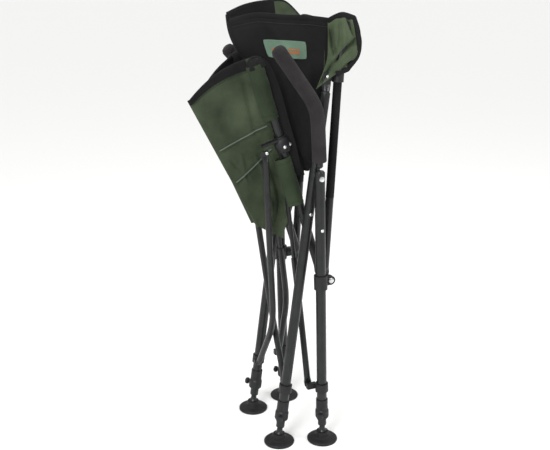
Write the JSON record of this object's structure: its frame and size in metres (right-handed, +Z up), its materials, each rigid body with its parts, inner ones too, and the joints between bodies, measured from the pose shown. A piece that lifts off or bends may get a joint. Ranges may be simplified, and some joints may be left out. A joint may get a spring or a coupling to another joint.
{
  "type": "folding blind chair",
  "caption": "Folding four-legged blind chair standing folded: scissor side frames, sling seat and backrest, bent arms with foam grips, telescopic legs and swivelling round feet.",
  "frame": {"origin": "on the floor under the middle of the folded bundle", "axes": "+Z up, -Y the way the sitter faces, +X the sitter's left"},
  "size_m": [0.326, 0.3818, 1.0751],
  "materials": {
    "black_powder_coat": "satin black powder coat",
    "black_moulded_nylon": "moulded black nylon",
    "black_foam": "closed-cell black foam",
    "green_polyester": "woven olive green polyester",
    "black_padded_cloth": "padded black woven polyester",
    "black_webbing": "woven black tape",
    "zinc_plated_steel": "zinc plated"
  },
  "bodies": {
    "left_rear_foot": {"left_rear_foot": "black_moulded_nylon"},
    "left_rear_extension": {"left_rear_extension": "black_powder_coat"},
    "left_rear_leg": {"left_rear_tube": "black_powder_coat", "left_rear_clamp": "black_moulded_nylon", "left_rear_bracket": "black_moulded_nylon", "left_pin_collar": "black_moulded_nylon", "left_scissor_rivet": "zinc_plated_steel", "left_ear_pin": "zinc_plated_steel"},
    "left_front_leg": {"left_front_tube": "black_powder_coat", "left_front_clamp": "black_moulded_nylon", "left_front_bracket": "black_moulded_nylon"},
    "left_front_extension": {"left_front_extension": "black_powder_coat"},
    "left_front_foot": {"left_front_foot": "black_moulded_nylon"},
    "left_rear_knob": {"left_rear_knob": "black_moulded_nylon"},
    "left_front_knob": {"left_front_knob": "black_moulded_nylon"},
    "left_seat_rail": {"left_seat_rail": "black_powder_coat", "left_strut_hub": "black_moulded_nylon", "left_seat_outer": "green_polyester"},
    "left_seat_fold": {"left_seat_fold_tape": "black_webbing", "left_seat_inner": "green_polyester"},
    "left_seat_middle": {"left_seat_middle_tape": "black_webbing"},
    "left_upright": {"left_upright": "black_powder_coat", "left_back_half": "black_padded_cloth"},
    "left_back_fold": {"left_back_fold_tape": "black_webbing"},
    "left_sliding_bracket": {"left_sliding_bracket": "black_moulded_nylon"},
    "left_front_strut": {"left_front_strut": "black_powder_coat"},
    "left_rear_brace": {"left_rear_brace_tube": "black_powder_coat"},
    "left_rear_brace_rod": {"left_rear_brace_rod": "black_powder_coat"},
    "left_armrest": {"left_arm_tube": "black_powder_coat", "left_foam_grip": "black_foam"},
    "right_rear_foot": {"right_rear_foot": "black_moulded_nylon"},
    "right_rear_extension": {"right_rear_extension": "black_powder_coat"},
    "right_rear_leg": {"right_rear_tube": "black_powder_coat", "right_rear_clamp": "black_moulded_nylon", "right_rear_bracket": "black_moulded_nylon", "right_pin_collar": "black_moulded_nylon", "right_scissor_rivet": "zinc_plated_steel", "right_ear_pin": "zinc_plated_steel"},
    "right_front_leg": {"right_front_tube": "black_powder_coat", "right_front_clamp": "black_moulded_nylon", "right_front_bracket": "black_moulded_nylon"},
    "right_front_extension": {"right_front_extension": "black_powder_coat"},
    "right_front_foot": {"right_front_foot": "black_moulded_nylon"},
    "right_rear_knob": {"right_rear_knob": "black_moulded_nylon"},
    "right_front_knob": {"right_front_knob": "black_moulded_nylon"},
    "right_seat_rail": {"right_seat_rail": "black_powder_coat", "right_strut_hub": "black_moulded_nylon", "right_seat_outer": "green_polyester"},
    "right_seat_fold": {"right_seat_fold_tape": "black_webbing", "right_seat_inner": "green_polyester"},
    "right_seat_middle": {"right_seat_middle_tape": "black_webbing"},
    "right_upright": {"right_upright": "black_powder_coat", "right_back_half": "black_padded_cloth"},
    "right_back_fold": {"right_back_fold_tape": "black_webbing"},
    "right_sliding_bracket": {"right_sliding_bracket": "black_moulded_nylon"},
    "right_front_strut": {"right_front_strut": "black_powder_coat"},
    "right_rear_brace": {"right_rear_brace_tube": "black_powder_coat"},
    "right_rear_brace_rod": {"right_rear_brace_rod": "black_powder_coat"},
    "right_armrest": {"right_arm_tube": "black_powder_coat", "right_foam_grip": "black_foam"}
  },
  "joints": [
    {"name": "unfold", "type": "hinge", "parent": "left_rear_foot", "child": "left_rear_extension", "pos_m": [0.124, 0.1173, 0.021], "axis": [1, 0, 0], "range_deg": [0, 18.13]},
    {"name": "left_rear_leg_extension", "type": "slide", "parent": "left_rear_extension", "child": "left_rear_leg", "axis": [0, -0.0281, 0.9996], "range_m": [0, 0.1]},
    {"name": "left_scissor", "type": "hinge", "parent": "left_rear_leg", "child": "left_front_leg", "pos_m": [0.124, 0.0982, 0.7], "axis": [1, 0, 0], "range_deg": [-31.68, 0]},
    {"name": "left_front_leg_extension", "type": "slide", "parent": "left_front_leg", "child": "left_front_extension", "axis": [0, -0.1303, -0.9915], "range_m": [0, 0.1]},
    {"name": "left_front_foot_tilt", "type": "hinge", "parent": "left_front_extension", "child": "left_front_foot", "pos_m": [0.092, 0.009, 0.021], "axis": [1, 0, 0], "range_deg": [0, 13.53]},
    {"name": "left_rear_knob_turn", "type": "hinge", "parent": "left_rear_leg", "child": "left_rear_knob", "pos_m": [0.124, 0.11572, 0.07698], "axis": [0.8, -0.6, 0], "range_deg": [0, 270]},
    {"name": "left_front_knob_turn", "type": "hinge", "parent": "left_front_leg", "child": "left_front_knob", "pos_m": [0.092, 0.01629, 0.07652], "axis": [0.8, -0.6, 0], "range_deg": [0, 270]},
    {"name": "left_seat_rail_fold", "type": "hinge", "parent": "left_rear_leg", "child": "left_seat_rail", "pos_m": [0.064, 0.133, 0.439], "axis": [1, 0, 0], "range_deg": [0, 46.42]},
    {"name": "left_upright_fold", "type": "hinge", "parent": "left_rear_leg", "child": "left_upright", "pos_m": [0.088, 0.133, 0.439], "axis": [1, 0, 0], "range_deg": [-15.1, 0]},
    {"name": "left_bracket_slide", "type": "slide", "parent": "left_upright", "child": "left_sliding_bracket", "axis": [0, -0.0521, -0.9986], "range_m": [0, 0.03643]},
    {"name": "left_seat_fold_open", "type": "slide", "parent": "left_seat_rail", "child": "left_seat_fold", "axis": [-0.7422, 0.5673, 0.3568], "range_m": [0, 0.17451], "deforming": ["left_seat_outer"]},
    {"name": "left_seat_middle_open", "type": "slide", "parent": "left_seat_fold", "child": "left_seat_middle", "axis": [-0.6555, -0.6565, -0.3734], "range_m": [0, 0.12373], "deforming": ["left_seat_inner"]},
    {"name": "left_back_fold_open", "type": "slide", "parent": "left_upright", "child": "left_back_fold", "axis": [-0.6269, 0.7754, -0.0766], "range_m": [0, 0.33601], "deforming": ["left_back_half"]},
    {"name": "left_front_strut_swing", "type": "hinge", "parent": "left_front_leg", "child": "left_front_strut", "pos_m": [0.062, 0.03743, 0.14989], "axis": [0.1872, -0.9816, -0.0384], "range_deg": [0, 51.42]},
    {"name": "left_rear_brace_swing", "type": "hinge", "parent": "left_rear_leg", "child": "left_rear_brace", "pos_m": [0.096, 0.08765, 0.15095], "axis": [1, 0, 0], "range_deg": [0, 26.28]},
    {"name": "left_rear_brace_slide", "type": "slide", "parent": "left_rear_brace", "child": "left_rear_brace_rod", "axis": [0, 0.1243, -0.9922], "range_m": [0, 0.10556]},
    {"name": "left_armrest_tilt", "type": "hinge", "parent": "left_rear_leg", "child": "left_armrest", "pos_m": [0.124, 0.09727, 0.73299], "axis": [1, 0, 0], "range_deg": [0, 28]},
    {"name": "sides_apart", "type": "slide", "parent": "left_rear_leg", "child": "right_rear_leg", "axis": [-1, 0, 0], "range_m": [0, 0.42125]},
    {"name": "right_rear_leg_extension", "type": "slide", "parent": "right_rear_leg", "child": "right_rear_extension", "axis": [0, 0.0281, -0.9996], "range_m": [0, 0.1]},
    {"name": "right_rear_foot_tilt", "type": "hinge", "parent": "right_rear_extension", "child": "right_rear_foot", "pos_m": [-0.124, 0.1173, 0.021], "axis": [1, 0, 0], "range_deg": [-18.15, 0]},
    {"name": "right_scissor", "type": "hinge", "parent": "right_rear_leg", "child": "right_front_leg", "pos_m": [-0.124, 0.0982, 0.7], "axis": [1, 0, 0], "range_deg": [-31.68, 0]},
    {"name": "right_front_leg_extension", "type": "slide", "parent": "right_front_leg", "child": "right_front_extension", "axis": [0, -0.1303, -0.9915], "range_m": [0, 0.1]},
    {"name": "right_front_foot_tilt", "type": "hinge", "parent": "right_front_extension", "child": "right_front_foot", "pos_m": [-0.092, 0.009, 0.021], "axis": [1, 0, 0], "range_deg": [0, 13.53]},
    {"name": "right_rear_knob_turn", "type": "hinge", "parent": "right_rear_leg", "child": "right_rear_knob", "pos_m": [-0.124, 0.11572, 0.07698], "axis": [-0.8, -0.6, 0], "range_deg": [0, 270]},
    {"name": "right_front_knob_turn", "type": "hinge", "parent": "right_front_leg", "child": "right_front_knob", "pos_m": [-0.092, 0.01629, 0.07652], "axis": [-0.8, -0.6, 0], "range_deg": [0, 270]},
    {"name": "right_seat_rail_fold", "type": "hinge", "parent": "right_rear_leg", "child": "right_seat_rail", "pos_m": [-0.064, 0.133, 0.439], "axis": [1, 0, 0], "range_deg": [0, 46.42]},
    {"name": "right_upright_fold", "type": "hinge", "parent": "right_rear_leg", "child": "right_upright", "pos_m": [-0.088, 0.133, 0.439], "axis": [1, 0, 0], "range_deg": [-15.1, 0]},
    {"name": "right_bracket_slide", "type": "slide", "parent": "right_upright", "child": "right_sliding_bracket", "axis": [0, -0.0521, -0.9986], "range_m": [0, 0.03643]},
    {"name": "right_seat_fold_open", "type": "slide", "parent": "right_seat_rail", "child": "right_seat_fold", "axis": [0.7422, 0.5673, 0.3568], "range_m": [0, 0.17451], "deforming": ["right_seat_outer"]},
    {"name": "right_seat_middle_open", "type": "slide", "parent": "right_seat_fold", "child": "right_seat_middle", "axis": [0.6555, -0.6565, -0.3734], "range_m": [0, 0.12373], "deforming": ["right_seat_inner"]},
    {"name": "right_back_fold_open", "type": "slide", "parent": "right_upright", "child": "right_back_fold", "axis": [0.6269, 0.7754, -0.0766], "range_m": [0, 0.33601], "deforming": ["right_back_half"]},
    {"name": "right_front_strut_swing", "type": "hinge", "parent": "right_front_leg", "child": "right_front_strut", "pos_m": [-0.062, 0.01443, 0.14989], "axis": [0.1593, 0.987, 0.0209], "range_deg": [0, 52.2]},
    {"name": "right_rear_brace_swing", "type": "hinge", "parent": "right_rear_leg", "child": "right_rear_brace", "pos_m": [-0.096, 0.08765, 0.15095], "axis": [1, 0, 0], "range_deg": [0, 26.28]},
    {"name": "right_rear_brace_slide", "type": "slide", "parent": "right_rear_brace", "child": "right_rear_brace_rod", "axis": [0, 0.1243, -0.9922], "range_m": [0, 0.10556]},
    {"name": "right_armrest_tilt", "type": "hinge", "parent": "right_rear_leg", "child": "right_armrest", "pos_m": [-0.124, 0.09727, 0.73299], "axis": [1, 0, 0], "range_deg": [0, 21.5]}
  ],
  "couplings": [
    {"joint": "left_scissor", "follows": "unfold", "ratio": -1.7455},
    {"joint": "left_front_foot_tilt", "follows": "unfold", "ratio": 0.74552},
    {"joint": "left_seat_rail_fold", "follows": "unfold", "ratio": 2.5577},
    {"joint": "left_upright_fold", "follows": "unfold", "ratio": -0.83191},
    {"joint": "left_bracket_slide", "follows": "unfold", "m_per_rad": 0.11502},
    {"joint": "left_seat_fold_open", "follows": "unfold", "m_per_rad": 0.55096},
    {"joint": "left_seat_middle_open", "follows": "unfold", "m_per_rad": 0.39065},
    {"joint": "left_back_fold_open", "follows": "unfold", "m_per_rad": 1.0608},
    {"joint": "left_front_strut_swing", "follows": "unfold", "ratio": 2.8334},
    {"joint": "left_rear_brace_swing", "follows": "unfold", "ratio": 1.4483},
    {"joint": "left_rear_brace_slide", "follows": "unfold", "m_per_rad": 0.33328},
    {"joint": "sides_apart", "follows": "unfold", "m_per_rad": 1.33},
    {"joint": "right_rear_foot_tilt", "follows": "unfold", "ratio": -1},
    {"joint": "right_scissor", "follows": "unfold", "ratio": -1.7455},
    {"joint": "right_front_foot_tilt", "follows": "unfold", "ratio": 0.74552},
    {"joint": "right_seat_rail_fold", "follows": "unfold", "ratio": 2.5577},
    {"joint": "right_upright_fold", "follows": "unfold", "ratio": -0.83191},
    {"joint": "right_bracket_slide", "follows": "unfold", "m_per_rad": 0.11502},
    {"joint": "right_seat_fold_open", "follows": "unfold", "m_per_rad": 0.55096},
    {"joint": "right_seat_middle_open", "follows": "unfold", "m_per_rad": 0.39065},
    {"joint": "right_back_fold_open", "follows": "unfold", "m_per_rad": 1.0608},
    {"joint": "right_front_strut_swing", "follows": "unfold", "ratio": 2.8764},
    {"joint": "right_rear_brace_swing", "follows": "unfold", "ratio": 1.4483},
    {"joint": "right_rear_brace_slide", "follows": "unfold", "m_per_rad": 0.33328}
  ]
}
